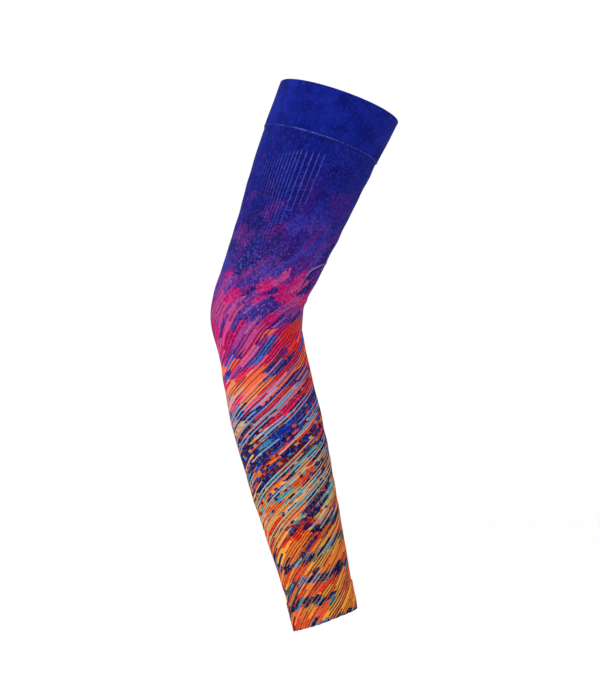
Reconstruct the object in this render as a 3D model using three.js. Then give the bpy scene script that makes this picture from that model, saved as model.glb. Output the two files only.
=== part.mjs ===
// An arm compression sleeve, knitted in the round, in the form that a slightly bent arm gives it.
// Millimetres, +Z up. The origin is the centre of the mouth, where the upper arm goes in.
// +X is the side that the forearm bends to, and the sleeve's ribbed panel faces -Y.

import * as THREE from 'three';
import { LoftGeometry } from 'three/addons/geometries/LoftGeometry.js';

// Lengths along the centre line, and how far each stretch leans from upright, in degrees
const UPPER_ARM_LENGTH = 180;
const FOREARM_LENGTH = 240;
const UPPER_ARM_LEAN = 21.3;
const FOREARM_LEAN = 12.9;
const ELBOW_TURN_RADIUS = 62;

// The hollow that the arm fills: widths from back to front, and depths from side to side
const MOUTH_WIDTH = 92.6;
const MOUTH_DEPTH = 89;
const ELBOW_WIDTH = 69.4;
const ELBOW_DEPTH = 68;
const WRIST_WIDTH = 50.4;
const WRIST_DEPTH = 45;

// The knit walls, all built outward from the hollow, and the bands at both ends
const SLEEVE_WALL = 1;
const CUFF_WALL = 1.9;
const CUFF_HEIGHT = 36;
const SEAM_WALL = 2.2;
const SEAM_HEIGHT = 1.6;
const WRIST_BAND_WALL = 1.8;
const WRIST_BAND_HEIGHT = 23;
const CLEARANCE = 0.3;

// The ribbed panel on the upper arm, measured from the seam, and the hem's scallops. The sweep
// is how strongly the panel's top edge curves, and its bottom edge slants from the share of the
// panel's width on which the slant starts.
const RIB_HEIGHT = 0.6;
const PANEL_DROP = 9;
const PANEL_LENGTH = 85;
const PANEL_TOP_CORNER = 18;
const PANEL_BOTTOM_CORNER = 38;
const PANEL_SWEEP = 1.6;
const PANEL_SLANT_START = 0.6;
const RIB_FADE = 5;
const SCALLOP_DEPTH = 0.7;
const SCALLOP_COUNT = 24;

// Sections of the hollow. `along` runs from 0 at the mouth through 1 at the elbow to 2 at the hem,
// back and front are shares of the local width, side is a share of the local depth, and tilt turns
// the section's plane, in degrees.
const SECTIONS = [
  { along: 0.0, back: 0.504, front: 0.505, side: 0.5, tilt: 2.2 },
  { along: 0.2, back: 0.525, front: 0.49, side: 0.503, tilt: 3 },
  { along: 0.4, back: 0.529, front: 0.481, side: 0.505, tilt: 2.5 },
  { along: 0.6, back: 0.512, front: 0.465, side: 0.5, tilt: 1.5 },
  { along: 0.8, back: 0.508, front: 0.443, side: 0.495, tilt: 0.5 },
  { along: 0.88, back: 0.511, front: 0.436, side: 0.495, tilt: 0 },
  { along: 0.95, back: 0.52, front: 0.456, side: 0.498, tilt: 0 },
  { along: 1.0, back: 0.53, front: 0.47, side: 0.5, tilt: 0 },
  { along: 1.04, back: 0.51, front: 0.475, side: 0.5, tilt: 0 },
  { along: 1.08, back: 0.492, front: 0.469, side: 0.502, tilt: 0 },
  { along: 1.15, back: 0.51, front: 0.468, side: 0.51, tilt: 0.5 },
  { along: 1.25, back: 0.547, front: 0.482, side: 0.52, tilt: 1 },
  { along: 1.35, back: 0.567, front: 0.501, side: 0.52, tilt: 1.5 },
  { along: 1.45, back: 0.56, front: 0.516, side: 0.515, tilt: 2 },
  { along: 1.6, back: 0.538, front: 0.512, side: 0.505, tilt: 3.5 },
  { along: 1.75, back: 0.502, front: 0.505, side: 0.5, tilt: 5 },
  { along: 1.88, back: 0.47, front: 0.495, side: 0.5, tilt: 6.4 },
  { along: 2.0, back: 0.475, front: 0.497, side: 0.5, tilt: 6.7 },
];

// The panel's ribs, by the angle of the first rib and the pitch between ribs, in degrees.
// Angles go round the sleeve: 0 is the front, 90 is +Y, 180 the back and 270 the panel's side.
const RIBS = [
  { from: 219, count: 12, pitch: 3.4 },
  { from: 261.5, count: 4, pitch: 5.8 },
];

// Creases that stand up in the bend of the elbow. `at` is the angle of their middle and slant the
// angle from the round direction, in degrees; the other values are shares of the elbow's width.
const CREASES = [
  { along: 0.77, at: 335, slant: 48, length: 0.5, width: 0.085, height: 0.016 },
  { along: 0.8, at: 347, slant: 36, length: 0.36, width: 0.075, height: 0.011 },
  { along: 0.9, at: 350, slant: 10, length: 0.5, width: 0.08, height: 0.012 },
];

// How finely the surfaces are divided: columns round the bands, the steps of a rounded edge, and
// the sleeve's columns, whose pitch is close from the panel to just past the creases
const BAND_COLUMNS = 2 * SCALLOP_COUNT;
const ROUND_STEPS = 4;
const CLOSE_COLUMNS_END = 20;
const CLOSE_PITCH = 5;
const PLAIN_PITCH = 9;

// Where the seam, the sleeve and the wrist band start and end along the centre line
const BEND = THREE.MathUtils.degToRad(UPPER_ARM_LEAN + FOREARM_LEAN);
const TURN_REACH = ELBOW_TURN_RADIUS * Math.tan(BEND / 2);
const TURN_START = UPPER_ARM_LENGTH - TURN_REACH;
const TURN_END = TURN_START + ELBOW_TURN_RADIUS * BEND;
const ELBOW_AT = (TURN_START + TURN_END) / 2;
const HEM_AT = TURN_END + FOREARM_LENGTH - TURN_REACH;
const SEAM_TOP = CUFF_HEIGHT + CLEARANCE;
const SEAM_BOTTOM = SEAM_TOP + SEAM_HEIGHT;
const SLEEVE_TOP = SEAM_BOTTOM + CLEARANCE;
const BAND_TOP = HEM_AT - WRIST_BAND_HEIGHT;
const SLEEVE_BOTTOM = BAND_TOP - CLEARANCE;
const PANEL_TOP = SEAM_BOTTOM + PANEL_DROP;
const PANEL_BOTTOM = PANEL_TOP + PANEL_LENGTH;

const { degToRad, smoothstep, clamp, lerp } = THREE.MathUtils;

// The point of the centre line at a distance from the mouth, and the lean of the line there.
// A lean of zero points straight down, and a positive one towards +X.
function centreAt(distance) {
  const upperLean = -degToRad(UPPER_ARM_LEAN);
  const turned = clamp(distance, TURN_START, TURN_END) - TURN_START;
  const lean = upperLean + turned / ELBOW_TURN_RADIUS;
  const upper = Math.min(distance, TURN_START);
  const lower = Math.max(distance - TURN_END, 0);
  const acrossTurn = ELBOW_TURN_RADIUS * (Math.cos(upperLean) - Math.cos(lean));
  const downTurn = ELBOW_TURN_RADIUS * (Math.sin(lean) - Math.sin(upperLean));
  const x = upper * Math.sin(upperLean) + acrossTurn + lower * Math.sin(lean);
  const z = -upper * Math.cos(upperLean) - downTurn - lower * Math.cos(lean);
  return { x, z, lean };
}

// Half widths of the hollow at a distance from the mouth, smooth between the table's sections
const sectionShares = new THREE.CubicInterpolant(
  SECTIONS.map((row) => row.along),
  SECTIONS.flatMap((row) => [row.back, row.front, row.side, row.tilt]),
  4,
);

function alongAt(distance) {
  if (distance < ELBOW_AT) return Math.max(distance / ELBOW_AT, 0);
  return Math.min(1 + (distance - ELBOW_AT) / (HEM_AT - ELBOW_AT), 2);
}

function sectionAt(distance) {
  const along = alongAt(distance);
  const [back, front, side, tilt] = sectionShares.evaluate(along);
  const upper = along < 1;
  const part = upper ? along : along - 1;
  const width = upper ? lerp(MOUTH_WIDTH, ELBOW_WIDTH, part) : lerp(ELBOW_WIDTH, WRIST_WIDTH, part);
  const depth = upper ? lerp(MOUTH_DEPTH, ELBOW_DEPTH, part) : lerp(ELBOW_DEPTH, WRIST_DEPTH, part);
  return { back: back * width, front: front * width, side: side * depth, tilt: degToRad(tilt) };
}

// One closed ring of points round the sleeve, `offset` outside the hollow. A row's `relief` adds
// height to single points, and its `slip` moves them along the sleeve.
function ring(angles, { distance, offset, relief = () => 0, slip = () => 0 }) {
  const { back, front, side, tilt } = sectionAt(distance);
  return angles.map((angle) => {
    const out = offset + relief(distance, angle);
    const forward = Math.cos(angle);
    const across = forward * ((forward > 0 ? front : back) + out);
    const aside = Math.sin(angle) * (side + out);
    const { x, z, lean } = centreAt(distance + slip(angle));
    const slope = lean + tilt;
    return new THREE.Vector3(x + across * Math.cos(slope), aside, z + across * Math.sin(slope));
  });
}

// Distances from one end to another in a number of equal steps, both ends among them
function steps(from, to, count) {
  return Array.from({ length: count + 1 }, (_, i) => lerp(from, to, i / count));
}

// A round edge of a wall: rows that turn from the offset `start` to the offset `end` over the edge
// at `edge`, which bulges away from the wall's middle. `inward` is 1 where the wall lies below it.
function roundEdge(edge, inward, start, end) {
  const radius = Math.abs(end - start) / 2;
  return steps(0, Math.PI, ROUND_STEPS).map((turn) => ({
    distance: edge + inward * radius * (1 - Math.sin(turn)),
    offset: (start + end) / 2 + ((start - end) / 2) * Math.cos(turn),
  }));
}

// A closed wall lofted through rings: down the outside, round the lower edge, up the inside and
// round the upper edge, back to the first ring. Rings turn clockwise seen from above.
function wallGeometry(angles, rows) {
  const clockwise = [...angles].reverse();
  const rings = rows.map((row) => ring(clockwise, row));
  return new LoftGeometry([...rings, rings[0]], { closed: true });
}

function evenAngles(count) {
  return Array.from({ length: count }, (_, i) => (i / count) * 2 * Math.PI);
}

// Angles of the ribs' crests, from the back of the panel to its front
function ribAngles() {
  return RIBS.flatMap(({ from, count, pitch }) =>
    Array.from({ length: count }, (_, i) => from + i * pitch),
  );
}

// Columns of the sleeve: a crest and its valleys for each rib, and the rest at two pitches
function sleeveAngles() {
  const crests = ribAngles();
  const valleys = crests.slice(1).map((crest, i) => (crest + crests[i]) / 2);
  const panelStart = crests[0] - RIBS[0].pitch / 2;
  const panelEnd = crests.at(-1) + RIBS.at(-1).pitch / 2;
  const closeEnd = 360 + CLOSE_COLUMNS_END;
  const closeCount = Math.round((closeEnd - panelEnd) / CLOSE_PITCH);
  const plainCount = Math.round((panelStart - CLOSE_COLUMNS_END) / PLAIN_PITCH);
  const close = steps(panelEnd, closeEnd, closeCount).slice(0, -1);
  const plain = steps(CLOSE_COLUMNS_END, panelStart, plainCount);
  return [...crests, ...valleys, ...close, ...plain]
    .map((angle) => angle % 360)
    .sort((a, b) => a - b)
    .map(degToRad);
}

// Height of the ribs, on the columns that run along a crest. The ribs at the back of the panel
// start lower and those at its front end higher, so the panel has two cut corners.
const crestAngles = ribAngles().map(degToRad);
const SAME_ANGLE = 1e-6;

function ribRelief(distance, angle) {
  const index = crestAngles.findIndex((crest) => Math.abs(crest - angle) < SAME_ANGLE);
  if (index < 0) return 0;
  const place = index / (crestAngles.length - 1);
  const top = PANEL_TOP + PANEL_TOP_CORNER * (1 - place) ** PANEL_SWEEP;
  const bottom = PANEL_BOTTOM - PANEL_BOTTOM_CORNER * smoothstep(place, PANEL_SLANT_START, 1);
  const rise = smoothstep(distance, top, top + RIB_FADE);
  const fall = 1 - smoothstep(distance, bottom - RIB_FADE, bottom);
  return RIB_HEIGHT * rise * fall;
}

// Height of the creases: each is a soft roll on the unrolled surface, highest in its middle
function creaseRelief(distance, angle) {
  let height = 0;
  for (const crease of CREASES) {
    const away = angle - degToRad(crease.at);
    const round = (Math.atan2(Math.sin(away), Math.cos(away)) * ELBOW_WIDTH) / 2;
    const down = distance - crease.along * ELBOW_AT;
    const slant = degToRad(crease.slant);
    const lengthwise = round * Math.cos(slant) - down * Math.sin(slant);
    const crosswise = round * Math.sin(slant) + down * Math.cos(slant);
    const end = 1 - smoothstep(Math.abs(lengthwise), 0, (crease.length * ELBOW_WIDTH) / 2);
    const flank = 1 - smoothstep(Math.abs(crosswise), 0, (crease.width * ELBOW_WIDTH) / 2);
    height += crease.height * ELBOW_WIDTH * end * flank;
  }
  return height;
}

// The doubled cuff at the top, with a round fold at the mouth
function upperCuff() {
  const outside = steps(CUFF_WALL / 2, CUFF_HEIGHT, 5).slice(1);
  const inside = steps(CUFF_HEIGHT, CUFF_WALL / 2, 3).slice(0, -1);
  const rows = [
    ...roundEdge(0, 1, 0, CUFF_WALL),
    ...outside.map((distance) => ({ distance, offset: CUFF_WALL })),
    ...inside.map((distance) => ({ distance, offset: 0 })),
  ];
  return wallGeometry(evenAngles(BAND_COLUMNS), rows);
}

// The raised seam that links the cuff to the sleeve, crowned outward
function cuffSeam() {
  const middle = (SEAM_TOP + SEAM_BOTTOM) / 2;
  const shoulder = (SLEEVE_WALL + SEAM_WALL) / 2;
  const rows = [
    { distance: SEAM_TOP, offset: shoulder },
    { distance: middle, offset: SEAM_WALL },
    { distance: SEAM_BOTTOM, offset: shoulder },
    { distance: SEAM_BOTTOM, offset: 0 },
    { distance: SEAM_TOP, offset: 0 },
  ];
  return wallGeometry(evenAngles(BAND_COLUMNS), rows);
}

// The knitted tube, with close rows where the ribs end and where the elbow creases
function knitSleeve() {
  const creaseTop = (CREASES[0].along - CREASES[0].length / 4) * ELBOW_AT;
  const outside = [
    ...steps(SLEEVE_TOP, PANEL_TOP, 2),
    ...steps(PANEL_TOP, PANEL_TOP + PANEL_TOP_CORNER + RIB_FADE, 4).slice(1),
    ...steps(PANEL_TOP + PANEL_TOP_CORNER + RIB_FADE, creaseTop, 3).slice(1),
    ...steps(creaseTop, TURN_END, 20).slice(1),
    ...steps(TURN_END, SLEEVE_BOTTOM, 12).slice(1),
  ];
  const inside = [
    ...steps(SLEEVE_BOTTOM, TURN_END, 7),
    ...steps(TURN_END, TURN_START, 6).slice(1),
    ...steps(TURN_START, SLEEVE_TOP, 4).slice(1),
  ];
  const relief = (distance, angle) => ribRelief(distance, angle) + creaseRelief(distance, angle);
  const rows = [
    ...outside.map((distance) => ({ distance, offset: SLEEVE_WALL, relief })),
    ...inside.map((distance) => ({ distance, offset: 0 })),
  ];
  return wallGeometry(sleeveAngles(), rows);
}

// The thicker band at the wrist, with a round, lightly scalloped hem
function wristCuff() {
  const slip = (angle) => -SCALLOP_DEPTH * (0.5 - 0.5 * Math.cos(SCALLOP_COUNT * angle));
  const hem = roundEdge(HEM_AT, -1, WRIST_BAND_WALL, 0).map((row) => ({ ...row, slip }));
  const above = HEM_AT - WRIST_BAND_WALL / 2 - SCALLOP_DEPTH;
  const rows = [
    ...steps(BAND_TOP, above, 4).map((distance) => ({ distance, offset: WRIST_BAND_WALL })),
    ...hem,
    ...steps(above, BAND_TOP, 2).map((distance) => ({ distance, offset: 0 })),
  ];
  return wallGeometry(evenAngles(BAND_COLUMNS), rows);
}

function fabric(color) {
  return new THREE.MeshStandardMaterial({ color, roughness: 0.85, metalness: 0 });
}

function piece(name, geometry, color) {
  const mesh = new THREE.Mesh(geometry, fabric(color));
  mesh.name = name;
  return mesh;
}

const sleeve = new THREE.Group();
sleeve.add(
  piece('upper_cuff', upperCuff(), 0x1a2a9a),
  piece('cuff_seam', cuffSeam(), 0x3a4cc0),
  piece('knit_sleeve', knitSleeve(), 0x7a2f8f),
  piece('wrist_cuff', wristCuff(), 0xf0602a),
);

export default sleeve;
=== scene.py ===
# %% [markdown]
# # A knitted arm compression sleeve
#
# The real sleeve is one tube, knitted in the round, that an arm stretches into its own form. It has
# four pieces to look at: a plain doubled cuff, the raised seam that links it on, the long printed
# tube with a ribbed panel, and a thicker band at the wrist. The packed solids hold their true
# places and sizes. This lesson dresses each of them with a finer mesh and a knitted finish.

# %% Load the packed solids
import math
from types import SimpleNamespace

import bpy
import numpy as np
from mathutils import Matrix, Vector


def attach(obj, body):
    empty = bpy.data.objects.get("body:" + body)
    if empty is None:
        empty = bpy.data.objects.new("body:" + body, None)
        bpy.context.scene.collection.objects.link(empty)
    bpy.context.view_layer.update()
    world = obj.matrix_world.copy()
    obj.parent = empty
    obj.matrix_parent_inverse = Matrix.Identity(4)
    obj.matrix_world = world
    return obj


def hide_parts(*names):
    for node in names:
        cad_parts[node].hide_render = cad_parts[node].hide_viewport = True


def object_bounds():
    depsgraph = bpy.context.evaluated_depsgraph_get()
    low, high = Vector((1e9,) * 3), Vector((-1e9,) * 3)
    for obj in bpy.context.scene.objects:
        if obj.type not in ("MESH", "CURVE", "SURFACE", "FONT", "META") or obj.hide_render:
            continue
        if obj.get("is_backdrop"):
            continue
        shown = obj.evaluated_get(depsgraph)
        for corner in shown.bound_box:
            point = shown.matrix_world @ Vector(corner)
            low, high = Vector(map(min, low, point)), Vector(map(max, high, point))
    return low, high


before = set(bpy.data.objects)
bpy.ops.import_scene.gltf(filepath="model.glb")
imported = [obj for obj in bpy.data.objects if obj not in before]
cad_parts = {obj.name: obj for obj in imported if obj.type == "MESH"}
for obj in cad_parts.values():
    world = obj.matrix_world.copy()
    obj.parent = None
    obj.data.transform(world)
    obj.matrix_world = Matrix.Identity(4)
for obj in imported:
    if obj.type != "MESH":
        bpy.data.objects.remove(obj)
solids_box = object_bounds()
print("solids reach from", [round(v, 4) for v in solids_box[0]], "to", [round(v, 4) for v in solids_box[1]])

# %% [markdown]
# ## The camera and the studio
#
# The photograph is level and upright, taken a little below the middle of the sleeve, so the mouth
# shows its near rim from below. A long lens keeps the outline almost parallel. The look of a plain
# catalogue picture comes from a white world that lights every side and one large soft light at the
# front left, which leaves the right side of the upper arm a little darker. The colours are strong,
# so the plain Standard view is used, which shows a base colour as it was chosen.

# %% Camera
CAMERA_DISTANCE = 1.41
CAMERA_SIDE = -0.0309
CAMERA_HEIGHT = -0.28
LOOK_HEIGHT = -0.194
FRAME_HEIGHT = 0.541


def aim(thing, target):
    """Turns a camera or a light so that it looks at a point."""
    away = thing.location - target
    thing.rotation_mode = "QUATERNION"
    thing.rotation_quaternion = away.to_track_quat("Z", "Y")


def add_object(name, data, place=(0, 0, 0)):
    """Puts new data into the scene as an object."""
    made = bpy.data.objects.new(name, data)
    made.location = place
    bpy.context.scene.collection.objects.link(made)
    return made


lens = bpy.data.cameras.new("camera")
lens.lens = lens.sensor_width / 2 / (FRAME_HEIGHT / 2 / CAMERA_DISTANCE)
camera = add_object("camera", lens, (CAMERA_SIDE, -CAMERA_DISTANCE, CAMERA_HEIGHT))
aim(camera, Vector((CAMERA_SIDE, 0, LOOK_HEIGHT)))
bpy.context.scene.camera = camera
bpy.context.scene.view_settings.view_transform = "Standard"
print("lens", round(lens.lens, 1), "mm")

# %% World and lights
WORLD_TONES = [
    {"place": 0.0, "tone": 1.1},
    {"place": 0.4, "tone": 1.0},
    {"place": 0.62, "tone": 1.0},
    {"place": 1.0, "tone": 0.3},
]
KEY_PLACE = (-1.6, -1.6, 1.1)
KEY_SIZE = 1.2
KEY_POWER = 14
ARM_MIDDLE = Vector((-0.03, 0, -0.19))


def studio_world():
    """A white room that grows darker towards the right, as one with a dark card there."""
    world = bpy.data.worlds.new("studio")
    world.use_nodes = True
    nodes, links = world.node_tree.nodes, world.node_tree.links
    heading = nodes.new("ShaderNodeTexCoord")
    parts = nodes.new("ShaderNodeSeparateXYZ")
    spread = nodes.new("ShaderNodeMapRange")
    tones = nodes.new("ShaderNodeValToRGB")
    spread.inputs["From Min"].default_value = -1
    while len(tones.color_ramp.elements) < len(WORLD_TONES):
        tones.color_ramp.elements.new(0.5)
    for stop, row in zip(tones.color_ramp.elements, WORLD_TONES):
        stop.position = row["place"]
        stop.color = (row["tone"], row["tone"], row["tone"], 1)
    links.new(heading.outputs["Generated"], parts.inputs["Vector"])
    links.new(parts.outputs["X"], spread.inputs["Value"])
    links.new(spread.outputs["Result"], tones.inputs["Fac"])
    links.new(tones.outputs["Color"], nodes["Background"].inputs["Color"])
    bpy.context.scene.world = world


studio_world()
key = bpy.data.lights.new("key", "AREA")
key.size = KEY_SIZE
key.energy = KEY_POWER
aim(add_object("key", key, KEY_PLACE), ARM_MIDDLE)
print("key light of", KEY_POWER, "W at", KEY_PLACE)

# %% Floor
FLOOR_BELOW = 0.16
FLOOR_RADIUS = 9.0
FLOOR_SIDES = 96
FLOOR_TONE = 0.9
FLOOR_GLOW = 0.16


def floor_disc():
    """A round white floor well below the sleeve, which is held up by the arm's end."""
    level = solids_box[0][2] - FLOOR_BELOW
    turns = np.linspace(0, 2 * math.pi, FLOOR_SIDES, endpoint=False)
    rim = [(FLOOR_RADIUS * math.cos(t), FLOOR_RADIUS * math.sin(t), level) for t in turns]
    mesh = bpy.data.meshes.new("floor")
    mesh.from_pydata(rim, [], [list(range(FLOOR_SIDES))])
    paint = bpy.data.materials.new("white_floor")
    paint.use_nodes = True
    shader = paint.node_tree.nodes["Principled BSDF"]
    shader.inputs["Base Color"].default_value = (FLOOR_TONE, FLOOR_TONE, FLOOR_TONE, 1)
    shader.inputs["Roughness"].default_value = 0.9
    shader.inputs["Emission Color"].default_value = (1, 1, 1, 1)
    shader.inputs["Emission Strength"].default_value = FLOOR_GLOW
    mesh.materials.append(paint)
    return add_object("floor", mesh)


floor = floor_disc()
floor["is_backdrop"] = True
print("floor at", round(floor.data.vertices[0].co.z, 3))

# %% [markdown]
# ## The form of the arm
#
# Every piece lies on one bent tube, so they share one set of sizes with the solids: a centre line
# of two straight stretches and a turn at the elbow, and a table of sections whose widths are shares
# of the widths at the mouth, the elbow and the wrist. A point on the sleeve is then named by three
# numbers: how far down the centre line it lies, how far round, and how far outside the arm.
# Working this out for whole arrays at once keeps the fine meshes quick to make.

# %% Sizes of the arm and the pieces, in metres and degrees
UPPER_ARM_LENGTH = 0.180
FOREARM_LENGTH = 0.240
UPPER_ARM_LEAN = 21.3
FOREARM_LEAN = 12.9
ELBOW_TURN_RADIUS = 0.062
MOUTH = {"width": 0.0926, "depth": 0.089}
ELBOW = {"width": 0.0694, "depth": 0.068}
WRIST = {"width": 0.0504, "depth": 0.045}
SLEEVE_WALL = 0.001
CUFF_WALL = 0.0019
CUFF_HEIGHT = 0.036
SEAM_HEIGHT = 0.0016
BAND_WALL = 0.0018
BAND_HEIGHT = 0.023
CLEARANCE = 0.0003

SECTIONS = [
    {"along": 0.0, "back": 0.504, "front": 0.505, "side": 0.5, "tilt": 2.2},
    {"along": 0.2, "back": 0.525, "front": 0.49, "side": 0.503, "tilt": 3},
    {"along": 0.4, "back": 0.529, "front": 0.481, "side": 0.505, "tilt": 2.5},
    {"along": 0.6, "back": 0.512, "front": 0.465, "side": 0.5, "tilt": 1.5},
    {"along": 0.8, "back": 0.508, "front": 0.443, "side": 0.495, "tilt": 0.5},
    {"along": 0.88, "back": 0.511, "front": 0.436, "side": 0.495, "tilt": 0},
    {"along": 0.95, "back": 0.52, "front": 0.456, "side": 0.498, "tilt": 0},
    {"along": 1.0, "back": 0.53, "front": 0.47, "side": 0.5, "tilt": 0},
    {"along": 1.04, "back": 0.51, "front": 0.475, "side": 0.5, "tilt": 0},
    {"along": 1.08, "back": 0.492, "front": 0.469, "side": 0.502, "tilt": 0},
    {"along": 1.15, "back": 0.51, "front": 0.468, "side": 0.51, "tilt": 0.5},
    {"along": 1.25, "back": 0.547, "front": 0.482, "side": 0.52, "tilt": 1},
    {"along": 1.35, "back": 0.567, "front": 0.501, "side": 0.52, "tilt": 1.5},
    {"along": 1.45, "back": 0.56, "front": 0.516, "side": 0.515, "tilt": 2},
    {"along": 1.6, "back": 0.538, "front": 0.512, "side": 0.505, "tilt": 3.5},
    {"along": 1.75, "back": 0.502, "front": 0.505, "side": 0.5, "tilt": 5},
    {"along": 1.88, "back": 0.47, "front": 0.495, "side": 0.5, "tilt": 6.4},
    {"along": 2.0, "back": 0.475, "front": 0.497, "side": 0.5, "tilt": 6.7},
]

upper_lean = -math.radians(UPPER_ARM_LEAN)
bend = math.radians(UPPER_ARM_LEAN + FOREARM_LEAN)
turn_reach = ELBOW_TURN_RADIUS * math.tan(bend / 2)
turn_start = UPPER_ARM_LENGTH - turn_reach
turn_end = turn_start + ELBOW_TURN_RADIUS * bend
elbow_at = (turn_start + turn_end) / 2
hem_at = turn_end + FOREARM_LENGTH - turn_reach
seam_top = CUFF_HEIGHT + CLEARANCE
seam_bottom = seam_top + SEAM_HEIGHT
sleeve_top = seam_bottom + CLEARANCE
band_top = hem_at - BAND_HEIGHT
sleeve_bottom = band_top - CLEARANCE
print("length along the middle", round(hem_at, 4), "m")

# %% From down, round and out to a point in space


def smooth_between(at, knots, values):
    """A smooth curve through a table's rows, straight on at both ends."""
    chords = np.diff(values) / np.diff(knots)
    slopes = np.concatenate([chords[:1], (chords[1:] + chords[:-1]) / 2, chords[-1:]])
    i = np.clip(np.searchsorted(knots, at) - 1, 0, len(knots) - 2)
    step = knots[i + 1] - knots[i]
    t = (at - knots[i]) / step
    rise = values[i] * (1 + 2 * t) * (1 - t) ** 2 + values[i + 1] * t**2 * (3 - 2 * t)
    return rise + step * (slopes[i] * t * (1 - t) ** 2 + slopes[i + 1] * t**2 * (t - 1))


def centre_line(down):
    """Place and lean of the centre line. A lean of zero points straight down."""
    lean = upper_lean + (np.clip(down, turn_start, turn_end) - turn_start) / ELBOW_TURN_RADIUS
    upper = np.minimum(down, turn_start)
    lower = np.maximum(down - turn_end, 0)
    across = ELBOW_TURN_RADIUS * (math.cos(upper_lean) - np.cos(lean))
    below = ELBOW_TURN_RADIUS * (np.sin(lean) - math.sin(upper_lean))
    x = upper * math.sin(upper_lean) + across + lower * np.sin(lean)
    z = -upper * math.cos(upper_lean) - below - lower * np.cos(lean)
    return x, z, lean


def section(down):
    """Half widths of the arm towards its back, front and sides, and the section's tilt."""
    along = np.where(down < elbow_at, down / elbow_at, 1 + (down - elbow_at) / (hem_at - elbow_at))
    along = np.clip(along, 0, 2)
    knots = np.array([row["along"] for row in SECTIONS])
    width = np.interp(along, [0, 1, 2], [MOUTH["width"], ELBOW["width"], WRIST["width"]])
    depth = np.interp(along, [0, 1, 2], [MOUTH["depth"], ELBOW["depth"], WRIST["depth"]])
    back, front, side, tilt = (
        smooth_between(along, knots, np.array([float(row[key]) for row in SECTIONS]))
        for key in ("back", "front", "side", "tilt")
    )
    return back * width, front * width, side * depth, np.radians(tilt)


def on_arm(down, turn, out):
    """Points at a distance down, an angle round (0 front, 180 back, 270 the camera's side) and out."""
    x, z, lean = centre_line(down)
    back, front, side, tilt = section(down)
    forward = np.cos(turn)
    across = forward * (np.where(forward > 0, front, back) + out)
    aside = np.sin(turn) * (side + out)
    slope = lean + tilt
    return np.stack(np.broadcast_arrays(x + across * np.cos(slope), aside, z + across * np.sin(slope)), -1)


def girth(down):
    """Length round the arm, from an ellipse of the section's half widths."""
    back, front, side, _ = section(down)
    half = (back + front) / 2
    return math.pi * (3 * (half + side) - np.sqrt((3 * half + side) * (half + 3 * side)))


for name, where in (("mouth", 0.0), ("elbow", elbow_at), ("wrist", hem_at)):
    print(name, "girth", round(float(girth(np.array(where))) * 1000), "mm")

# %% [markdown]
# ## From a grid of points to a knitted piece
#
# Each piece is a closed wall: down the outside, round the lower edge, up the inside and round the
# upper edge. That is a grid of rows and columns that closes on itself both ways, so one helper can
# make every piece. It also stores what the finish needs later: the map `knit` says how far round and
# down each point lies, `swirl` says how far the print's strokes have wound by then, and `inside`
# marks the reverse of the cloth. A second map lays the outside and the inside flat side by side.

# %% The winding of the strokes
STROKE_ANGLES = [
    {"share": 0.0, "angle": 66},
    {"share": 0.3, "angle": 62},
    {"share": 0.42, "angle": 48},
    {"share": 0.52, "angle": 33},
    {"share": 0.62, "angle": 28},
    {"share": 0.76, "angle": 31},
    {"share": 0.9, "angle": 41},
    {"share": 1.0, "angle": 45},
]
WINDING_STATIONS = 800


def swirl_at(down):
    """Turns that a stroke has wound round the arm, from its angle to the round direction."""
    stations = np.linspace(0, hem_at, WINDING_STATIONS)
    angle = np.interp(
        stations / hem_at,
        [row["share"] for row in STROKE_ANGLES],
        [row["angle"] for row in STROKE_ANGLES],
    )
    rate = 1 / np.tan(np.radians(angle)) / girth(stations)
    wound = np.concatenate([[0], np.cumsum((rate[1:] + rate[:-1]) / 2 * np.diff(stations))])
    return np.interp(down, stations, wound)


print("strokes wind", round(float(swirl_at(hem_at)), 2), "turns")

# %% A grid of faces and its maps
INSIDE_STRIP = 0.84
MAP_MARGIN = 0.01


def grid_mesh(name, points):
    """A mesh from a grid of points that closes on itself both ways, and the corners of its faces."""
    count, columns = points.shape[:2]
    i, j = np.meshgrid(np.arange(count), np.arange(columns), indexing="ij")
    below, beside = (i + 1) % count, (j + 1) % columns
    around = [i * columns + j, below * columns + j, below * columns + beside, i * columns + beside]
    corners = np.stack(around, -1).reshape(-1, 4)
    mesh = bpy.data.meshes.new(name)
    mesh.vertices.add(count * columns)
    mesh.vertices.foreach_set("co", points.astype(np.float32).ravel())
    mesh.loops.add(corners.size)
    mesh.loops.foreach_set("vertex_index", corners.ravel())
    mesh.polygons.add(len(corners))
    mesh.polygons.foreach_set("loop_start", np.arange(0, corners.size, 4))
    mesh.update(calc_edges=True)
    mesh.validate()
    mesh.polygons.foreach_set("use_smooth", np.ones(len(corners), bool))
    return mesh, corners


def add_map(mesh, name, across, along):
    """Adds a flat map from two arrays with a value for each face corner."""
    layer = mesh.uv_layers.new(name=name)
    layer.data.foreach_set("uv", np.stack([across, along], -1).astype(np.float32).ravel())


def add_field(mesh, name, values):
    """Keeps a number for each point of the mesh."""
    layer = mesh.attributes.new(name, "FLOAT", "POINT")
    layer.data.foreach_set("value", values.astype(np.float32).ravel())


def inset(values):
    """Keeps a map's values a little inside its edges."""
    return values * (1 - 2 * MAP_MARGIN) + MAP_MARGIN


print("the reverse takes", round(1 - INSIDE_STRIP, 2), "of the flat map's width")

# %% Closed walls
EDGE_STEPS = 8


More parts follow.
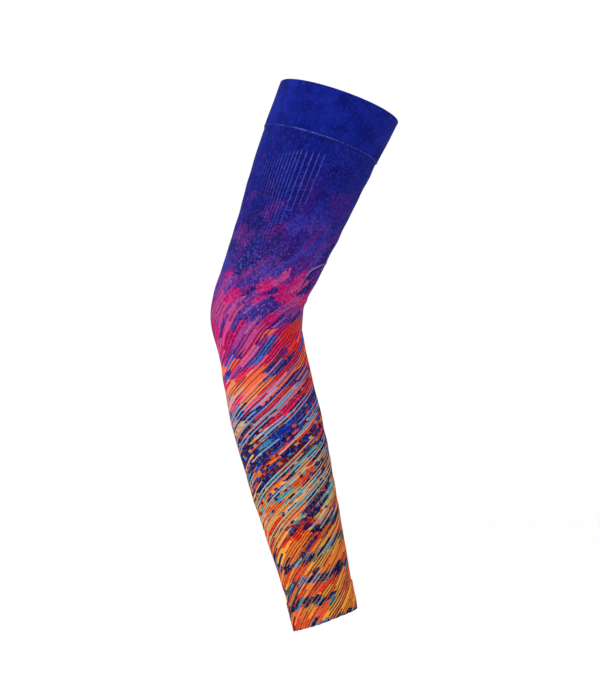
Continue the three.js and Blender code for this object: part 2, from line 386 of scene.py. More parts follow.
def wall_piece(name, turns, rows):
    """A closed wall from rows of {down, out, inside}, each an array over the columns or a number."""
    columns = len(turns)
    down, out, inside = (
        np.array([np.broadcast_to(row[key], columns) for row in rows])
        for key in ("down", "out", "inside")
    )
    mesh, corners = grid_mesh(name, on_arm(down, turns[None, :], out))
    share = down.ravel()[corners] / hem_at
    rounds = np.append(turns, turns[0] + 2 * math.pi) / (2 * math.pi)
    column = np.tile(np.arange(columns), len(rows))
    turn = np.stack([rounds[column], rounds[column], rounds[column + 1], rounds[column + 1]], -1)
    add_map(mesh, "knit", turn, share)
    reverse = inside.ravel()[corners].min(axis=1, keepdims=True) > 0.5
    flat = np.where(reverse, INSIDE_STRIP + (1 - INSIDE_STRIP) * turn, INSIDE_STRIP * turn)
    add_map(mesh, "OFBake", inset(flat), inset((share - share.min()) / (share.max() - share.min())))
    add_field(mesh, "swirl", swirl_at(down))
    add_field(mesh, "inside", inside)
    print(name, "has", 2 * len(corners), "triangles")
    return add_object(name, mesh)


def even_turns(count):
    """Angles at an even pitch all the way round."""
    return np.linspace(0, 2 * math.pi, count, endpoint=False)


def round_edge(edge, inward, start, end):
    """Rows round a wall's edge, from one face of the wall to the other."""
    radius = abs(end - start) / 2
    rows = []
    for turn in np.linspace(0, math.pi, EDGE_STEPS + 1)[1:-1]:
        rows.append(
            {
                "down": edge + inward * radius * (1 - math.sin(turn)),
                "out": (start + end) / 2 + (start - end) / 2 * math.cos(turn),
                "inside": math.cos(turn) < 0 if start > end else math.cos(turn) > 0,
            }
        )
    return rows


# %% Soft steps and soft unevenness
SWELL_WAVES = 14
MIDDLE_GIRTH = 0.22


def ease(value, low, high):
    """A soft step from 0 at `low` to 1 at `high`."""
    t = np.clip((value - low) / (high - low), 0, 1)
    return t * t * (3 - 2 * t)


def soft_noise(down, turn, cell, seed):
    """Smooth random swells, about -1 to 1, over the surface; `cell` is their size in metres."""
    rng = np.random.default_rng(seed)
    total = np.zeros(np.broadcast(down, turn).shape)
    for _ in range(SWELL_WAVES):
        heading = rng.uniform(0, 2 * math.pi)
        length = cell * rng.uniform(0.8, 2.2)
        lobes = round(math.cos(heading) * MIDDLE_GIRTH / length)
        phase = rng.uniform(0, 2 * math.pi)
        total = total + np.sin(lobes * turn + math.sin(heading) * 2 * math.pi * down / length + phase)
    return total / math.sqrt(SWELL_WAVES)


print("noise spread", round(float(soft_noise(np.linspace(0, 0.4, 99), 1.0, 0.03, 1).std()), 2))


# %% [markdown]
# ## The plain cuff and its linking seam
#
# The cuff is knitted twice as long as it shows, folded over at the mouth and linked back on itself,
# so its edge is a round fold and its wall is twice as thick as the tube. Where the linking thread
# runs, the doubled cloth is drawn in a little, and short soft gathers stand above it. The seam itself
# is a row of slanting stitches, a rope lying on the surface. Both are drawn as relief on the wall,
# since they are forms of about half a millimetre that catch the light.

# %% Cuff
CUFF_COLUMNS = 360
CUFF_ROWS = 44
CUFF_INSIDE_ROWS = 16
GATHERS = 74
GATHER_WANDER = 2.2
GATHER_REACH = 0.009
GATHER_HEIGHT = 0.00028
DRAWN_IN = 0.0004
CUFF_SWELL = 0.00016
SWELL_START = 0.004
CUFF_EDGE = {"outside": 0.72, "inside": 0.2}


def cuff_relief(down, turns):
    """Gathers above the seam, where the cloth is drawn in, and soft swells below the fold."""
    near_seam = np.exp(-((CUFF_HEIGHT - down) / GATHER_REACH) ** 2)
    gathers = np.sin(turns * GATHERS + GATHER_WANDER * soft_noise(down, turns, cell=0.05, seed=3))
    swell = CUFF_SWELL * soft_noise(down, turns, cell=0.022, seed=4) * np.clip(down / SWELL_START, 0, 1)
    return near_seam * (GATHER_HEIGHT * gathers - DRAWN_IN) + swell


def upper_cuff():
    """The doubled cuff, from its round fold down the outside and up the inside."""
    turns = even_turns(CUFF_COLUMNS)
    outside = np.linspace(CUFF_WALL / 2, CUFF_HEIGHT - CUFF_WALL / 4, CUFF_ROWS)
    rows = round_edge(0, 1, 0, CUFF_WALL)
    rows += [{"down": d, "out": CUFF_WALL + cuff_relief(d, turns), "inside": 0} for d in outside]
    rows += [{"down": CUFF_HEIGHT, "out": CUFF_WALL * CUFF_EDGE["outside"], "inside": 0}]
    rows += [{"down": CUFF_HEIGHT, "out": CUFF_WALL * CUFF_EDGE["inside"], "inside": 1}]
    inside = np.linspace(CUFF_HEIGHT - CUFF_WALL / 4, CUFF_WALL / 2, CUFF_INSIDE_ROWS)
    rows += [{"down": d, "out": 0, "inside": 1} for d in inside]
    return wall_piece("cuff_knit_mesh", turns, rows)


cuff = upper_cuff()

# %% Linking seam
# Heights are from the arm's surface, and places across the seam are shares of its reach
SEAM_STITCHES = 150
SEAM_COLUMNS = 900
SEAM_ROWS = 11
SEAM_CREST = 0.00185
SEAM_TOP_HEIGHT = 0.00155
SEAM_FOOT_HEIGHT = SLEEVE_WALL + 0.0001
SEAM_INSIDE = 0.0002
SEAM_LAP = 0.9
CREST_PLACE = 0.4
CREST_SPREAD = 0.24
STITCH_SLANT = 5.0
stitches_top = seam_top - CLEARANCE * SEAM_LAP
stitches_reach = SEAM_HEIGHT + CLEARANCE * 2 * SEAM_LAP


def cuff_seam():
    """A low ridge that leaves the cuff level and slopes to the tube, with a row of slanting stitches."""
    turns = even_turns(SEAM_COLUMNS)
    rows = []
    for part in np.linspace(0, 1, SEAM_ROWS):
        slope = SEAM_TOP_HEIGHT - (SEAM_TOP_HEIGHT - SEAM_FOOT_HEIGHT) * ease(part, 0.35, 1.0)
        strand = 0.5 + 0.5 * np.cos(SEAM_STITCHES * turns + (part - CREST_PLACE) * STITCH_SLANT)
        ridge = math.exp(-(((part - CREST_PLACE) / CREST_SPREAD) ** 2))
        crest = (SEAM_CREST - SEAM_TOP_HEIGHT) * ridge * (0.3 + 0.7 * strand)
        rows.append({"down": stitches_top + stitches_reach * part, "out": slope + crest, "inside": 0})
    for part in (1, 0.5, 0):
        rows.append({"down": stitches_top + stitches_reach * part, "out": SEAM_INSIDE, "inside": 1})
    return wall_piece("seam_stitches", turns, rows)


seam = cuff_seam()

# %% [markdown]
# ## The printed tube
#
# One long tube carries the ribbed panel, the mesh of tuck stitches behind the elbow and the creases
# in its bend. A rib is a column of stitches that stands proud, so the mesh gets extra columns that
# follow each rib, and only broad columns elsewhere. A crease is a soft roll with a sharp valley next
# to it, drawn from its distance to a line on the unrolled arm. How high the ribs, the mesh and the
# valleys are is also kept as attributes, because crests and rolls get a painted highlight and a
# valley gets painted shade.

# %% Ribs and where they stand
RIB_GROUPS = [{"start": 219, "count": 12, "pitch": 3.4}, {"start": 261.5, "count": 4, "pitch": 5.8}]
RIB_HEIGHT = 0.0006
PANEL_DROP = 0.009
PANEL_LENGTH = 0.085
PANEL_TOP_CORNER = 0.018
PANEL_BOTTOM_CORNER = 0.038
PANEL_SWEEP = 1.6
PANEL_SLANT_START = 0.6
RIB_FADE = 0.005
RIB_SPREAD = math.radians(0.62)
PANEL_BACK = (-0.06, 0.02)
PANEL_FRONT_END = (0.9, 1.05)
panel_top = seam_bottom + PANEL_DROP
panel_bottom = panel_top + PANEL_LENGTH
rib_turns = np.radians([g["start"] + g["pitch"] * i for g in RIB_GROUPS for i in range(g["count"])])


def panel_edges(place):
    """Where the panel begins and ends down the arm, from its back (0) to its front (1)."""
    top = panel_top + PANEL_TOP_CORNER * (1 - place) ** PANEL_SWEEP
    bottom = panel_bottom - PANEL_BOTTOM_CORNER * ease(place, PANEL_SLANT_START, 1)
    return top, bottom


def rib_height(down, turns):
    """How far up each rib stands here, from 0 to 1."""
    total = np.zeros(np.broadcast(down, turns).shape)
    for index, rib in enumerate(rib_turns):
        top, bottom = panel_edges(index / (len(rib_turns) - 1))
        lengthwise = ease(down, top, top + RIB_FADE) * (1 - ease(down, bottom - RIB_FADE, bottom))
        total = np.maximum(total, lengthwise * np.exp(-(((turns - rib) / RIB_SPREAD) ** 2)))
    return total


def panel_mask(down, turns):
    """The cloth between the ribs, from 0 to 1."""
    place = (turns - rib_turns[0]) / (rib_turns[-1] - rib_turns[0])
    inside = ease(place, *PANEL_BACK) * (1 - ease(place, *PANEL_FRONT_END))
    top, bottom = panel_edges(np.clip(place, 0, 1))
    return inside * ease(down, top, top + RIB_FADE) * (1 - ease(down, bottom - 2 * RIB_FADE, bottom))


print(len(rib_turns), "ribs from", round(panel_top, 3), "to", round(panel_bottom, 3), "m down the arm")

# %% Columns that follow the ribs
# From the panel's front round to its back again, with fine columns where the elbow creases
COLUMN_STRETCHES = [
    {"to": 303, "pitch": 1.5},
    {"to": 374, "pitch": 0.8},
    {"to": 560, "pitch": 2.2},
    {"to": 577, "pitch": 1.5},
]
RIB_COLUMNS = (-2.0, -0.9, 0, 0.9, 2.0)
PITCH_BETWEEN_RIBS = 1.05


def sleeve_turns():
    """Column angles: five on each rib, a few between ribs, and stretches of even pitch elsewhere."""
    on_ribs = rib_turns[:, None] + RIB_SPREAD * np.array(RIB_COLUMNS)
    marks = [on_ribs.ravel()]
    for a, b in zip(on_ribs[:-1, -1], on_ribs[1:, 0]):
        gap = max(1, round((b - a) / math.radians(PITCH_BETWEEN_RIBS)))
        marks.append(np.linspace(a, b, gap + 1)[1:-1])
    at = on_ribs[-1, -1]
    for stretch in COLUMN_STRETCHES:
        end = math.radians(stretch["to"])
        count = round((end - at) / math.radians(stretch["pitch"]))
        marks.append(np.linspace(at, end, count + 1)[1:])
        at = end
    return np.sort(np.concatenate(marks) % (2 * math.pi))


print(len(sleeve_turns()), "columns round the sleeve")

# %% Creases
# Each crease follows points of (degrees round, share of the way to the elbow)
FOLDS = [
    {
        "points": [(321, 0.84), (321.5, 0.80), (324.5, 0.755), (332, 0.73), (345, 0.705), (364, 0.69)],
        "high": 0.001, "deep": 0.0012, "width": 0.0017,
    },
    {
        "points": [(329, 0.85), (331, 0.80), (337, 0.77), (350, 0.748)],
        "high": 0.0007, "deep": 0.0009, "width": 0.0013,
    },
    {
        "points": [(308, 0.705), (318, 0.69), (332, 0.68), (348, 0.682)],
        "high": 0.0006, "deep": 0.0004, "width": 0.0011,
    },
    {
        "points": [(312, 0.775), (315, 0.745), (321, 0.722), (333, 0.705)],
        "high": 0.0006, "deep": 0.0005, "width": 0.0011,
    },
    {
        "points": [(330, 0.93), (340, 0.885), (354, 0.87), (374, 0.89)],
        "high": 0.0006, "deep": 0.0004, "width": 0.002,
    },
]
FOLD_STATIONS = 90
FOLD_TAPER = 0.6
ROLL_ABOVE = 0.9
VALLEY_BELOW = 0.3
VALLEY_SPREAD = 0.6
FARTHEST = 9.0


def nearest_on_fold(fold, down, turns):
    """Distance to a crease's line on the unrolled arm, less than 0 above it, and the place along it."""
    knots = np.linspace(0, 1, len(fold["points"]))
    fine = np.linspace(0, 1, FOLD_STATIONS)
    degrees, shares = (np.array([float(point[k]) for point in fold["points"]]) for k in (0, 1))
    line_turn = np.radians(smooth_between(fine, knots, degrees))
    line_down = smooth_between(fine, knots, shares) * elbow_at
    best = np.full(np.broadcast(down, turns).shape, FARTHEST)
    side = np.zeros_like(best)
    place = np.zeros_like(best)
    for along, t, d in zip(fine, line_turn, line_down):
        away = np.arctan2(np.sin(turns - t), np.cos(turns - t)) * ELBOW["width"] / 2
        gap = np.hypot(away, down - d)
        nearer = gap < best
        best = np.where(nearer, gap, best)
        side = np.where(nearer, down - d, side)
        place = np.where(nearer, along, place)
    return np.sign(side) * best, place


def fold_fields(down, turns):
    """Height of the rolls and depth of the valleys beside them."""
    high = np.zeros(np.broadcast(down, turns).shape)
    deep = np.zeros_like(high)
    for fold in FOLDS:
        away, place = nearest_on_fold(fold, down, turns)
        ends = np.clip(np.sin(place * math.pi), 0, 1) ** FOLD_TAPER
        across = away / fold["width"]
        high = high + fold["high"] * ends * np.exp(-((across + ROLL_ABOVE) ** 2))
        deep = deep + fold["deep"] * ends * np.exp(-(((across - VALLEY_BELOW) / VALLEY_SPREAD) ** 2))
    return high, deep


print(len(FOLDS), "creases, the highest", max(fold["high"] for fold in FOLDS) * 1000, "mm")

# %% The mesh of tuck stitches
TUCK_PATCH = {"turn": 236, "down": 0.139, "round": 0.026, "along": 0.019, "ragged": 0.16}
TUCK_EDGE = (0.5, 1.15)
TUCK_CORNERS = 3


def tuck_mask(down, turns):
    """Where the bumpy mesh lies, from 0 to 1: a patch with round corners and an uneven edge."""
    patch = TUCK_PATCH
    away = (turns - math.radians(patch["turn"])) * ELBOW["width"] / 2 / patch["round"]
    below = (down - patch["down"]) / patch["along"]
    edge = (np.abs(away) ** TUCK_CORNERS + np.abs(below) ** TUCK_CORNERS) ** (1 / TUCK_CORNERS)
    return 1 - ease(edge + patch["ragged"] * soft_noise(down, turns, cell=0.01, seed=8), *TUCK_EDGE)


print("the tuck mesh is about", round(2 * TUCK_PATCH["along"] * 1000), "mm long")

# %% Sleeve
ROW_STRETCHES = [
    {"to": 0.112, "pitch": 0.0013},
    {"to": 0.168, "pitch": 0.0007},
    {"to": sleeve_bottom, "pitch": 0.00155},
]
SLEEVE_INSIDE_ROWS = 24
SLEEVE_LAP = {"top": 0.0002, "bottom": 0.00005}
EDGE_ROW = 0.0001
SWELL_FADE = 0.01
SLEEVE_SWELL = 0.00022
VALLEY_SHARE = 0.8
THINNEST_WALL = 0.0004
FULL_SHADE = 0.001
sleeve_end = band_top - SLEEVE_LAP["bottom"]


def sleeve_rows():
    """Places of the rows down the outside, close where the elbow creases."""
    marks = [sleeve_top - SLEEVE_LAP["top"]]
    for stretch in ROW_STRETCHES:
        count = round((stretch["to"] - marks[-1]) / stretch["pitch"])
        marks.extend(np.linspace(marks[-1], stretch["to"], count + 1)[1:])
    return np.array(marks[:-1] + [sleeve_end - EDGE_ROW, sleeve_end])


def printed_sleeve():
    """The long tube with its relief, and the fields that its finish follows."""
    turns = sleeve_turns()
    outside = sleeve_rows()
    inside = np.linspace(sleeve_end, sleeve_top, SLEEVE_INSIDE_ROWS)
    grid = np.array([np.full(len(turns), d) for d in outside])
    ribs = rib_height(grid, turns[None, :])
    high, deep = fold_fields(grid, turns[None, :])
    fade = ease(grid, outside[0], outside[0] + SWELL_FADE)
    fade = fade * (1 - ease(grid, sleeve_bottom - SWELL_FADE, sleeve_bottom))
    swell = SLEEVE_SWELL * soft_noise(grid, turns[None, :], cell=0.02, seed=5) * fade
    lift = np.maximum(SLEEVE_WALL + RIB_HEIGHT * ribs + high - deep * VALLEY_SHARE + swell, THINNEST_WALL)
    rows = [{"down": down, "out": out, "inside": 0} for down, out in zip(grid, lift)]
    rows += [{"down": d, "out": 0, "inside": 1} for d in inside]
    piece = wall_piece("printed_knit_mesh", turns, rows)
    fields = {
        "rib": ribs,
        "fold": np.clip(deep / FULL_SHADE, 0, 1),
        "roll": np.clip(high / FULL_SHADE, 0, 1),
        "tuck": tuck_mask(grid, turns[None, :]),
        "panel": panel_mask(grid, turns[None, :]),
    }
    for label, values in fields.items():
        add_field(piece.data, label, np.vstack([values, np.zeros((len(inside), len(turns)))]))
    return piece


sleeve = printed_sleeve()

# %% [markdown]
# ## The wrist band
#
# The band is knitted denser, with narrow ribs that draw it in, and ends in a rolled hem. Each rib
# pulls the hem up a little, so the edge is lightly scalloped. Its top stands proud of the tube.

# %% Wrist band
BAND_RIBS = 48
BAND_RIB_HEIGHT = 0.00022
BAND_RIB_SINK = 0.0002
BAND_SWELL = 0.00016
BAND_COLUMNS = 576
BAND_ROWS = 34
BAND_INSIDE_ROWS = 10
BAND_TOP_HEIGHT = 0.55
BAND_SHOULDER = 0.0012
BAND_RIB_START = 0.003
SCALLOP_DEPTH = 0.0007
SCALLOP_COUNT = 24
HEM = {"lift": 0.4, "scallop": 0.22, "uneven": 0.2}


def hem_slip(turns):
    """How far the ribs pull the hem up: scallops of changing pitch on a slow unevenness."""
    scallops = HEM["scallop"] * np.cos(SCALLOP_COUNT * turns + 1.5 * np.sin(3 * turns))
    uneven = HEM["uneven"] * np.sin(5 * turns + 1)
    return -SCALLOP_DEPTH * (HEM["lift"] + scallops + uneven)


def wrist_band():
    """The ribbed band, from its round shoulder to the rolled hem and up the inside."""
    turns = even_turns(BAND_COLUMNS)
    rib = BAND_RIB_HEIGHT * (0.5 + 0.5 * np.cos(BAND_RIBS * turns)) - BAND_RIB_SINK
    above = hem_at - BAND_WALL / 2 - SCALLOP_DEPTH
    rows = []
    for d in np.linspace(band_top, above, BAND_ROWS):
        ends = ease(d, band_top, band_top + BAND_RIB_START)
        shoulder = math.sqrt(min(1, (d - band_top) / BAND_SHOULDER + 0.02))
        crown = BAND_WALL * (BAND_TOP_HEIGHT + (1 - BAND_TOP_HEIGHT) * shoulder)
        swell = BAND_SWELL * soft_noise(d, turns, cell=0.014, seed=6)
        rows.append({"down": d, "out": crown + (rib + swell) * ends, "inside": 0})
    for row in round_edge(hem_at, -1, BAND_WALL, 0):
        rows.append({**row, "down": row["down"] + hem_slip(turns)})
    rows += [{"down": d, "out": 0, "inside": 1} for d in np.linspace(above, band_top, BAND_INSIDE_ROWS)]
    return wall_piece("wrist_knit_mesh", turns, rows)


band = wrist_band()

# %% [markdown]
# ## Nodes written as arithmetic
#
# Seen close, the cloth is columns of little V stitches, and dye is printed on them stitch by stitch.
# Such a finish is maths on two numbers: how far round and how far down the arm a point lies. It
# could be laid out by hand in the node editor, but it would be long and hard to read. A small class
# that wraps a socket lets it be written as plain expressions, since each operator adds its Math
# node. Colours go through Mix nodes instead, because a Math node would turn them grey.

# %% A socket written like a number


class Value:
    """One socket of a material's nodes, written like a number."""

    def __init__(self, tree, socket):
        self.tree = tree
        self.socket = socket

    def make(self, kind, settings, inputs, output=0):
        """Adds a node: its settings first, then the values or links of its sockets."""
        node = self.tree.nodes.new(kind)
        for name, value in settings.items():
            if name == "stops":
                set_stops(node.color_ramp, value)
            else:
                setattr(node, name, value)
        for name, value in inputs.items():
            if isinstance(value, Value):
                self.tree.links.new(value.socket, node.inputs[name])
            else:
                node.inputs[name].default_value = value
        return Value(self.tree, node.outputs[output])

    def made(self, name):
        """Another output of the node that this socket belongs to."""
        return Value(self.tree, self.socket.node.outputs[name])

    def math(self, operation, first, second=0.0, clamp=False):
        settings = {"operation": operation, "use_clamp": clamp}
        return self.make("ShaderNodeMath", settings, {0: first, 1: second})

    def __add__(self, other):
        return self.math("ADD", self, other)

    def __radd__(self, other):
        return self.math("ADD", other, self)

    def __sub__(self, other):
        return self.math("SUBTRACT", self, other)

    def __rsub__(self, other):
        return self.math("SUBTRACT", other, self)

    def __mul__(self, other):
        return self.math("MULTIPLY", self, other)

    def __rmul__(self, other):
        return self.math("MULTIPLY", other, self)

    def __truediv__(self, other):
        return self.math("DIVIDE", self, other)

    def __gt__(self, other):
        return self.math("GREATER_THAN", self, other)

    def __lt__(self, other):
        return self.math("LESS_THAN", self, other)

    def whole(self):
        return self.math("FLOOR", self)

    def part(self):
        return self.math("FRACT", self)

    def size(self):
        return self.math("ABSOLUTE", self)

    def clipped(self):
        return self.math("ADD", self, 0.0, clamp=True)

    def wave(self):
        """A wave of this many turns, from -1 to 1."""
        return self.math("SINE", self * (2 * math.pi))

    def wrapped(self, count):
        return self.math("FLOORED_MODULO", self, count)

    def middle(self):
        """1 in the middle of every whole step and 0 at its ends."""
        return 1 - (self.part() - 0.5).size() * 2

    def between(self, low, high):
        """A soft step from 0 at `low` to 1 at `high`."""
        sockets = {"Value": self, "From Min": low, "From Max": high}
        return self.make("ShaderNodeMapRange", {"interpolation_type": "SMOOTHSTEP"}, sockets)


print("a socket can be used in", sum(callable(part) for part in vars(Value).values()), "ways")

# %% Dyes and how they are laid over each other


def set_stops(ramp, stops):
    """Fills a ramp with (place, colour) stops."""
    while len(ramp.elements) < len(stops):
        ramp.elements.new(0.5)
    for element, (place, colour) in zip(ramp.elements, stops):
        element.position = place
        element.color = (*colour, 1)


def dye(code):
    """A linear colour from a hex code as a designer writes it."""
    parts = [int(code[i : i + 2], 16) / 255 for i in (1, 3, 5)]
    return tuple(c / 12.92 if c <= 0.04045 else ((c + 0.055) / 1.055) ** 2.4 for c in parts)


def dyes(**codes):
    """Named linear colours from named hex codes."""
    return {name: dye(code) for name, code in codes.items()}


def blend(amount, under, over, how="MIX"):
    """Lays one colour over another by an amount from 0 to 1."""
    maker = next(v for v in (amount, under, over) if isinstance(v, Value))
    under, over = (v if isinstance(v, Value) else (*v, 1) for v in (under, over))
    settings = {"data_type": "RGBA", "blend_type": how, "clamp_factor": True}
    return maker.make("ShaderNodeMix", settings, {0: amount, 6: under, 7: over}, 2)


def ink(share, codes):
    """A run of colours down the arm, from {share: hex code}."""
    stops = [(place, dye(code)) for place, code in codes.items()]
    return share.make("ShaderNodeValToRGB", {"stops": stops}, {"Fac": share})


def choice(value, codes):
    """One of a few flat colours, from {least value: hex code}."""
    chosen = ink(value, codes)
    chosen.socket.node.color_ramp.interpolation = "CONSTANT"
    return chosen


print("a mid grey dye is", round(dye("#808080")[0], 3), "in linear light")

# %% Dice, clouds and the surface shader
CLOTH_IOR = 1.45
CLOTH_SPECULAR = 0.05
CLOTH_SHEEN = 0.01
SHEEN_ROUGHNESS = 0.5


def dice(start, across, along, seed):
    """A random number that is the same all over one cell."""
    place = start.make("ShaderNodeCombineXYZ", {}, {"X": across, "Y": along, "Z": seed})
    return start.make("ShaderNodeTexWhiteNoise", {"noise_dimensions": "3D"}, {"Vector": place})


def speckle(start, turn, share, wales, tall, seed):
    """A random number for each cell of a knitted grid: so many wales round, each cell so tall."""
    return dice(start, (turn * wales).whole(), (share * (hem_at / tall)).whole(), seed)


def in_space(start):
    """The place in space that noise is laid in, so that it has no seam round the arm."""
    return start.make("ShaderNodeTexCoord", {}, {}, 3)


def clouds(start, scale, detail=3.0, seed=0.0):
    """Soft noise in space, from about 0 to 1."""
    shift = (seed, seed * 0.7, -seed)
    moved = start.make("ShaderNodeVectorMath", {"operation": "ADD"}, {0: in_space(start), 1: shift})
    sockets = {"Vector": moved, "Scale": scale, "Detail": detail}
    return start.make("ShaderNodeTexNoise", {"noise_dimensions": "3D"}, sockets)


def new_cloth(name):
    """A material with its surface shader and the first socket to build from."""
    cloth = bpy.data.materials.new(name)
    cloth.use_nodes = True
    shader = cloth.node_tree.nodes["Principled BSDF"]
    shader.inputs["IOR"].default_value = CLOTH_IOR
    shader.inputs["Specular IOR Level"].default_value = CLOTH_SPECULAR
    shader.inputs["Sheen Weight"].default_value = CLOTH_SHEEN
    shader.inputs["Sheen Roughness"].default_value = SHEEN_ROUGHNESS
    return cloth, shader, Value(cloth.node_tree, None)


def finish_cloth(shader, colour, rough, height, depth):
    """Links the colour, the roughness and the relief to the surface shader."""
    bump = height.make("ShaderNodeBump", {}, {"Height": height, "Distance": depth, "Strength": 1.0})
    for value, name in ((colour, "Base Color"), (rough, "Roughness"), (bump, "Normal")):
        height.tree.links.new(value.socket, shader.inputs[name])


print("cloth has a sheen of", CLOTH_SHEEN, "and a specular level of", CLOTH_SPECULAR)

# %% [markdown]
# ## The V stitches
#
# A stitch of plain knit shows as two slanting legs that meet in a V. At the size of this sleeve each
# is about a millimetre wide, far too many to model, so they are relief: the place within a stitch
# gives two rounded legs, and the shader's bump turns their height into light and shade.

# %% The V stitches
WALES = 220
COURSE = 0.00135
LEG_SLANT = 1.1
LEG_PLACE = 0.25
LEG_NARROWS = 3.4
LOOP_NARROWS = 1.9


def map_places(start):
    """How far round and how far down the arm, each as a share, from the map."""
    chart = start.make("ShaderNodeUVMap", {"uv_map": "knit"}, {})
    turn = start.make("ShaderNodeSeparateXYZ", {}, {"Vector": chart}, 0)
    share = start.make("ShaderNodeSeparateXYZ", {}, {"Vector": chart}, 1)
    return turn, share


def stitch_height(turn, share):
    """Two slanting legs to each stitch, rounded, from 0 to 1."""
    across = (turn * WALES).part() - 0.5
    arm = across.size()
    along = (share * (hem_at / COURSE) + arm * LEG_SLANT).part() - 0.5
    leg = 1 - ((arm - LEG_PLACE) * LEG_NARROWS).size()
    loop = 1 - (along * LOOP_NARROWS).size()
    return (leg * loop).clipped()


def attribute(start, name):
    """A number kept on the mesh's points."""
    return start.make("ShaderNodeAttribute", {"attribute_name": name}, {}, 2)


print("a stitch is", round(float(girth(np.array(0.1))) / WALES * 1000, 2), "mm wide at the upper arm")

# %% [markdown]
# ## The cuff's cloth and the linking thread
#
# The cuff is dyed one royal blue, yet it is never quite even: dye takes in soft patches, and single
# stitches catch the light. Noise in space gives the patches, because it has no seam, and dice for
# each stitch give the flecks; the gaps between the stitches get painted shade. The thread that links
# the cuff is a lighter blue, with painted shade in the grooves between its stitches and a painted
# highlight on its ridge that is strongest on the ribbed panel's side, so the highlight fades round
# the arm.

# %% Plain blue cuff
CUFF_DYES = dyes(main="#0c187a", bright="#15279a", dull="#0c1058", fleck="#2438a8", reverse="#2a3590")
CUFF_BUMP = 0.00022


def cuff_cloth():
    """Plain blue knit with a faint mottle, and a lighter reverse."""
    cloth, shader, start = new_cloth("cuff_cloth")
    turn, share = map_places(start)
    stitch = stitch_height(turn, share)
    cell = speckle(start, turn, share, WALES, COURSE, seed=1.0)
    patches = clouds(start, scale=60.0, detail=4.0, seed=1.3).between(0.35, 0.68)
    streaks = clouds(start, scale=190.0, detail=2.0, seed=4.1).between(0.45, 0.75)
    fuzz = clouds(start, scale=320.0, detail=2.0)
    colour = blend(patches, CUFF_DYES["main"], CUFF_DYES["bright"])
    colour = blend(streaks * 0.55, colour, CUFF_DYES["dull"])
    colour = blend((cell > 0.86) * 0.35, colour, CUFF_DYES["fleck"])
    # painted shade in the gaps between the stitch legs
    colour = blend((1 - stitch) * 0.3, colour, CUFF_DYES["dull"])
    colour = blend(attribute(start, "inside") * 0.6, colour, CUFF_DYES["reverse"])
    finish_cloth(shader, colour, 0.8 + cell * 0.12, stitch + fuzz * 0.6, CUFF_BUMP)
    return cloth


print("the cuff has", len(CUFF_DYES), "dyes")

# %% Linking thread
# Shares of a turn round the arm over which the thread's painted highlight grows and fades
THREAD_HIGHLIGHT_START = (0.59, 0.68)
THREAD_HIGHLIGHT_END = (0.86, 0.77)
THREAD_DYES = dyes(light="#7888e4", main="#2434a0", valley="#101870")
THREAD_PLIES = 4
PLY_SLANT = 3.0
THREAD_BUMP = 0.0001


def thread_cloth():
    """Thread with painted shade between its stitches and a painted highlight on the panel's side."""
    cloth, shader, start = new_cloth("thread_cloth")
    turn, share = map_places(start)
    across = (share * hem_at - stitches_top) / stitches_reach
    slant = (across - CREST_PLACE) * (STITCH_SLANT / 2 / math.pi)
    strand = 0.5 + 0.5 * (turn * SEAM_STITCHES + slant).wave()
    ridge = across.between(0.1, 0.35) * across.between(0.75, 0.45)
    tone = dice(start, (turn * SEAM_STITCHES).whole(), 0.0, 2.0)
    # painted highlight on the thread's ridge, patchy by noise and strongest on the ribbed panel's side
    highlight_strength = clouds(start, scale=45.0, detail=2.0, seed=3.0).between(0.42, 0.6)
    side = (0.12 + 0.88 * turn.between(*THREAD_HIGHLIGHT_START)) * (0.45 + 0.55 * turn.between(*THREAD_HIGHLIGHT_END))
    highlit = (0.2 + 0.8 * highlight_strength) * side
    # painted shade in the grooves between the stitches, then a painted highlight on the ridge
    colour = blend(strand * (0.2 + 0.5 * tone), THREAD_DYES["valley"], THREAD_DYES["main"])
    colour = blend(ridge * (0.2 + 0.8 * tone) * strand * highlit, colour, THREAD_DYES["light"])
    plies = (turn * (SEAM_STITCHES * THREAD_PLIES) + across * PLY_SLANT).wave()
    fuzz = clouds(start, scale=700.0, detail=2.0)
    finish_cloth(shader, colour, 0.62 + tone * 0.14, plies * 0.5 + fuzz, THREAD_BUMP)
    return cloth


print("the thread is rubbed from", THREAD_HIGHLIGHT_START[0], "to", THREAD_HIGHLIGHT_END[0], "of a turn")

# %% [markdown]
# ## The print
#
# The print is slanting strokes of ink, blue at the cuff, violet and magenta at the elbow, then
# orange with navy. It could be painted as a picture, but a picture has a seam and a fixed number of
# pixels, so it is worked out from the maps. How far round a point lies and how far a stroke has
# wound by then add up to one number, the lane, which is the same all along a stroke. Its whole part
# names the stroke. Cut into belts down the arm, that gives patches, and a random number for each
# patch picks its ink. Ink follows the stitches, so the end of a patch is a row of steps and teeth.
#
# The inks of the upper arm change slowly along the arm, so each is a run of colours. From the elbow
# down a patch has one flat colour, and each zone of the arm has a palette to pick from.

